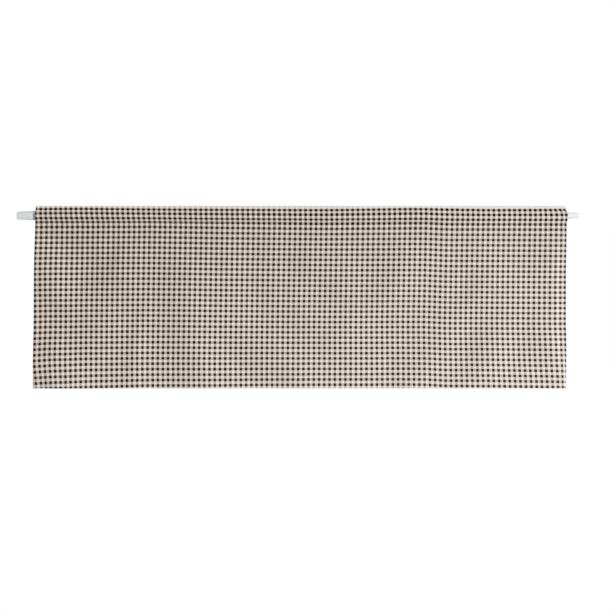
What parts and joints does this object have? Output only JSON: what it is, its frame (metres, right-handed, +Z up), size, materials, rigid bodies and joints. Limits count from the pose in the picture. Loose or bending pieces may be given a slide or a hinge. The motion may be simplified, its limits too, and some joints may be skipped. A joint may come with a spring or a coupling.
{
  "type": "window valance on tension rod",
  "caption": "Short flat window valance in small woven check, hung by its rod pocket on a telescopic tension rod with tapered end caps.",
  "frame": {"origin": "centre of the rod's left end face, as seen from the room", "axes": "+X along the rod to its right end, +Y away from the viewer to the window, +Z up"},
  "size_m": [1.372, 0.0252, 0.4454],
  "materials": {
    "checked_cotton": "matte",
    "rod_nickel": "satin",
    "cap_plastic": "satin"
  },
  "bodies": {
    "root": {"valance_cloth": "checked_cotton", "rod_outer_tube": "rod_nickel", "rod_inner_tube": "rod_nickel", "rod_cap_left": "cap_plastic", "rod_cap_right": "cap_plastic"}
  },
  "joints": []
}
